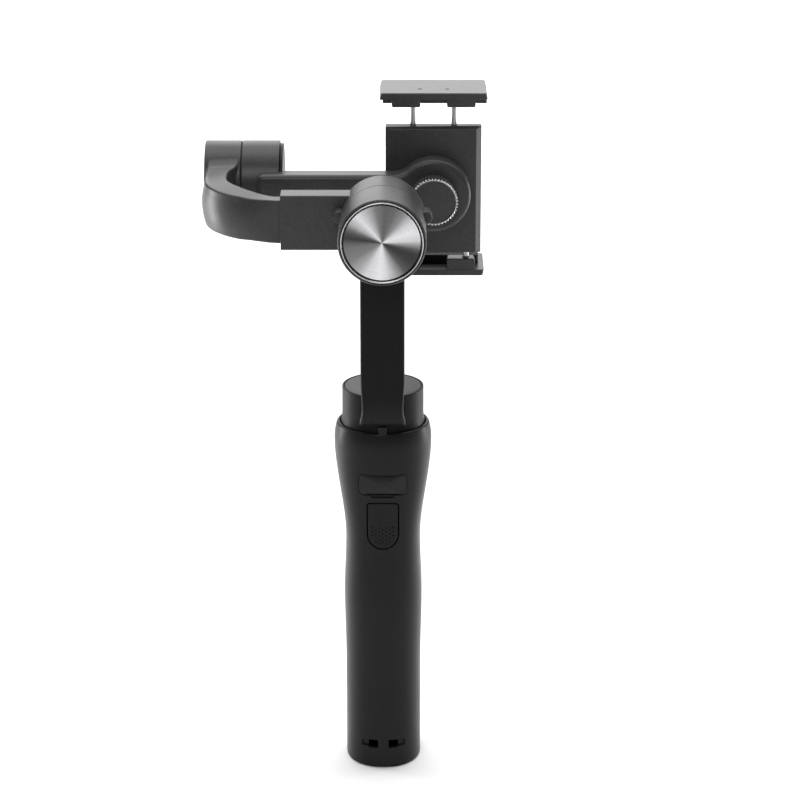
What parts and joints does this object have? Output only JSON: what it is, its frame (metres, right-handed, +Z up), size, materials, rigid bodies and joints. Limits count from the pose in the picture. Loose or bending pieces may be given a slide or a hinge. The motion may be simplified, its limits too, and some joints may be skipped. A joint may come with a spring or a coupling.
{
  "type": "gimbal stabilizer",
  "caption": "Hand-held three-axis phone gimbal with a waisted grip, trigger, disc-faced roll motor, curved arm and sprung phone clamp.",
  "frame": {"origin": "centre of the handle's flat base, on the pan axis, at the mouth of the tripod thread", "axes": "+Z up the handle along the pan axis; -Y towards the brushed disc and the trigger; +X towards the phone clamp"},
  "size_m": [0.1227, 0.1202, 0.2862],
  "materials": {
    "shell_plastic": "fine-textured black moulded plastic",
    "control_plastic": "satin black moulded plastic",
    "panel_gloss": "gloss black panel",
    "satin_grey": "satin charcoal paint on cast metal",
    "arm_black": "satin black paint on metal",
    "cap_grey": "satin mid grey cap",
    "brushed_disc": "spun metal with a concentric grain",
    "polished_trim": "polished metal ring",
    "jaw_plate_grey": "light grey satin plate",
    "rubber_black": "soft matte rubber",
    "bright_steel": "ground steel",
    "copper_windings": "enamelled copper windings",
    "circuit_board": "green circuit board",
    "cell_wrap": "wrapped lithium cell",
    "lamp_white": "translucent lamp window"
  },
  "bodies": {
    "handle": {"handle_rear_shell": "shell_plastic", "handle_front_shell": "shell_plastic", "base_cap": "shell_plastic", "tripod_bushing": "bright_steel", "battery_cell": "cell_wrap", "main_board": "circuit_board", "trigger_switch": "control_plastic", "charge_socket": "bright_steel", "power_out_socket": "bright_steel", "control_panel": "panel_gloss", "status_window": "lamp_white", "pan_stator": "copper_windings"},
    "trigger": {"trigger": "control_plastic"},
    "port_cover": {"port_cover": "rubber_black"},
    "joystick_cradle": {"joystick_cradle": "control_plastic"},
    "joystick_cap": {"joystick_cap": "rubber_black"},
    "record_button": {"record_button": "control_plastic"},
    "mode_button": {"mode_button": "control_plastic"},
    "zoom_rocker": {"zoom_rocker": "control_plastic"},
    "pan_stage": {"pan_housing": "arm_black", "pan_top_cap": "cap_grey", "pan_magnet_ring": "bright_steel", "pan_shaft": "bright_steel", "vertical_arm": "arm_black", "roll_motor_case": "satin_grey", "roll_trim_ring": "polished_trim", "roll_disc": "brushed_disc", "roll_motor_board": "circuit_board", "roll_stator": "copper_windings"},
    "roll_stage": {"roll_housing": "satin_grey", "roll_back_cover": "control_plastic", "roll_magnet_ring": "bright_steel", "roll_shaft": "bright_steel"},
    "arm_lock": {"arm_lock_screw": "control_plastic"},
    "arm_stage": {"roll_arm": "satin_grey", "tilt_end_cap": "control_plastic", "tilt_stator": "copper_windings"},
    "tilt_stage": {"tilt_housing": "satin_grey", "tilt_flange": "control_plastic", "tilt_magnet_ring": "bright_steel", "tilt_shaft": "bright_steel", "tilt_arm": "satin_grey"},
    "clamp_knob": {"clamp_knob": "satin_grey"},
    "clamp": {"clamp_pivot": "bright_steel", "clamp_front_cover": "satin_grey", "clamp_back_plate": "control_plastic", "clamp_back_pad": "rubber_black", "upper_spring_left": "bright_steel", "upper_spring_right": "bright_steel", "lower_spring_left": "bright_steel", "lower_spring_right": "bright_steel"},
    "upper_jaw": {"upper_jaw": "satin_grey", "upper_jaw_plate": "jaw_plate_grey", "upper_jaw_pad": "rubber_black", "upper_rod_left": "bright_steel", "upper_rod_right": "bright_steel"},
    "lower_jaw": {"lower_jaw": "satin_grey", "lower_jaw_pad": "rubber_black", "lower_rod_left": "bright_steel", "lower_rod_right": "bright_steel"}
  },
  "joints": [
    {"name": "pan", "type": "hinge", "parent": "handle", "child": "pan_stage", "pos_m": [0, 0, 0.16], "axis": [0, 0, 1], "range_deg": [-165, 165]},
    {"name": "roll", "type": "hinge", "parent": "pan_stage", "child": "roll_stage", "pos_m": [0, -0.0085, 0.2448], "axis": [0, 1, 0], "range_deg": [-70, 160]},
    {"name": "arm_slide", "type": "slide", "parent": "roll_stage", "child": "arm_stage", "axis": [-1, 0, 0], "range_m": [0, 0.01]},
    {"name": "arm_lock", "type": "hinge", "parent": "roll_stage", "child": "arm_lock", "pos_m": [-0.031, 0.003, 0.2448], "axis": [0, 1, 0], "range_deg": [0, 180]},
    {"name": "tilt", "type": "hinge", "parent": "arm_stage", "child": "tilt_stage", "pos_m": [-0.053, 0.0614, 0.2448], "axis": [1, 0, 0], "range_deg": [-120, 120]},
    {"name": "clamp_turn", "type": "hinge", "parent": "tilt_stage", "child": "clamp", "pos_m": [0.0218, 0.0492, 0.2434], "axis": [0, 1, 0], "range_deg": [0, 90]},
    {"name": "clamp_knob", "type": "hinge", "parent": "tilt_stage", "child": "clamp_knob", "pos_m": [0.0218, 0.0338, 0.2434], "axis": [0, 1, 0], "continuous": true},
    {"name": "upper_jaw_slide", "type": "slide", "parent": "clamp", "child": "upper_jaw", "axis": [0, 0, 1], "range_m": [-0.0065, 0.01], "stiffness_N_per_m": 450, "deforming": ["upper_spring_left", "upper_spring_right"]},
    {"name": "lower_jaw_slide", "type": "slide", "parent": "clamp", "child": "lower_jaw", "axis": [0, 0, -1], "range_m": [-0.0025, 0.01], "stiffness_N_per_m": 450, "deforming": ["lower_spring_left", "lower_spring_right"]},
    {"name": "trigger", "type": "hinge", "parent": "handle", "child": "trigger", "pos_m": [0, -0.0146, 0.1223], "axis": [1, 0, 0], "range_deg": [0, 8], "stiffness_Nm_per_rad": 0.2},
    {"name": "port_cover", "type": "hinge", "parent": "handle", "child": "port_cover", "pos_m": [0, -0.0202, 0.1363], "axis": [-1, 0, 0], "range_deg": [0, 110]},
    {"name": "joystick_pitch", "type": "hinge", "parent": "handle", "child": "joystick_cradle", "pos_m": [0, 0.0145, 0.124], "axis": [1, 0, 0], "range_deg": [-15, 15], "stiffness_Nm_per_rad": 0.03},
    {"name": "joystick_yaw", "type": "hinge", "parent": "joystick_cradle", "child": "joystick_cap", "pos_m": [0, 0.0145, 0.124], "axis": [0, 0, 1], "range_deg": [-15, 15], "stiffness_Nm_per_rad": 0.03},
    {"name": "record_button", "type": "slide", "parent": "handle", "child": "record_button", "axis": [0, -1, 0], "range_m": [0, 0.0008], "stiffness_N_per_m": 1200},
    {"name": "mode_button", "type": "slide", "parent": "handle", "child": "mode_button", "axis": [0, -1, 0], "range_m": [0, 0.0008], "stiffness_N_per_m": 1200},
    {"name": "zoom_rocker", "type": "hinge", "parent": "handle", "child": "zoom_rocker", "pos_m": [0, 0.0155, 0.098], "axis": [1, 0, 0], "range_deg": [-5, 5], "stiffness_Nm_per_rad": 0.06}
  ]
}
